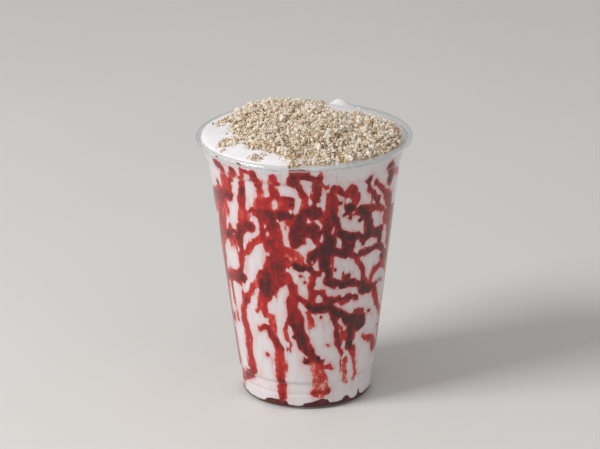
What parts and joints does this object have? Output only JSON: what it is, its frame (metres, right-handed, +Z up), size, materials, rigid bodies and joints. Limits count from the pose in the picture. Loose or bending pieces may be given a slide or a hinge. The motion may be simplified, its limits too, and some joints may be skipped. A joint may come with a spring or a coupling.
{
  "type": "milkshake in a takeaway cup",
  "caption": "Clear tapered takeaway cup with a rolled lip, filled with white milkshake streaked with strawberry sauce and topped with biscuit crumbs.",
  "frame": {"origin": "middle of the foot, on the surface that the cup stands on", "axes": "+Z up through the cup, front towards -Y, +X to the right seen from the front"},
  "size_m": [0.098, 0.098, 0.1344],
  "materials": {
    "clear_plastic": "clear and glossy",
    "milkshake": "soft and moist",
    "strawberry_sauce": "wet",
    "biscuit_crumbs": "dry and gritty"
  },
  "bodies": {
    "root": {"cup": "clear_plastic", "milkshake": "milkshake", "sauce_puddle": "strawberry_sauce", "crumb_heap": "biscuit_crumbs"}
  },
  "joints": []
}
